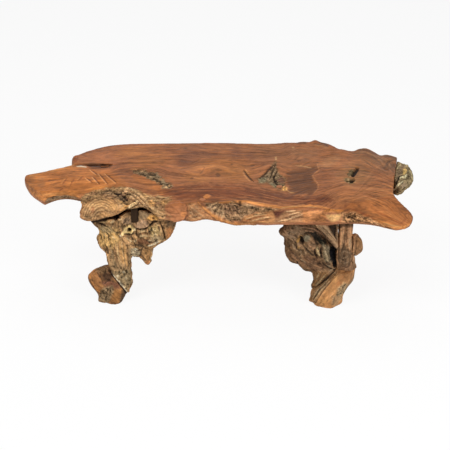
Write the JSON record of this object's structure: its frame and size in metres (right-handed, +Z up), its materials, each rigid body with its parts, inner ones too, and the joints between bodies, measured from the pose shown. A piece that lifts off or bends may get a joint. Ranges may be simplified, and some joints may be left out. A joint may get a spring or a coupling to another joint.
{
  "type": "coffee table",
  "caption": "Low coffee table with a thick live-edge slab carried on gnarled root stumps, pegged together along sawn seams",
  "frame": {"origin": "on the floor, under the middle of the table's bounding box", "axes": "+X along the table's length, from the long tongue towards the burl; +Y from the front edge to the back; +Z up"},
  "size_m": [1.4644, 0.7218, 0.445],
  "materials": {
    "polished_slab": "oiled and polished to a low sheen",
    "rough_burl": "raw, brushed clean",
    "weathered_root": "raw, brushed clean",
    "sanded_root": "sanded and oiled, with rough patches",
    "dark_root": "raw, lightly oiled",
    "tenon_wood": "sawn",
    "plug_wood": "oiled, flush with the top",
    "peg_wood": "turned smooth"
  },
  "bodies": {
    "root": {"top_slab": "polished_slab", "right_burl": "rough_burl", "left_stump": "weathered_root", "left_foot": "sanded_root", "stump_tenon": "tenon_wood", "right_stump": "dark_root", "right_post": "dark_root", "right_strut": "dark_root", "right_foot": "sanded_root", "knot_plug_1": "plug_wood", "knot_plug_2": "plug_wood", "left_top_dowel_1": "peg_wood", "left_top_dowel_2": "peg_wood", "right_top_dowel_1": "peg_wood", "right_top_dowel_2": "peg_wood", "post_dowel_1": "peg_wood", "post_dowel_2": "peg_wood", "strut_dowel_1": "peg_wood", "left_foot_dowel_1": "peg_wood", "left_foot_dowel_2": "peg_wood", "right_foot_dowel_1": "peg_wood", "right_foot_dowel_2": "peg_wood", "burl_dowel_1": "peg_wood", "burl_dowel_2": "peg_wood"}
  },
  "joints": []
}
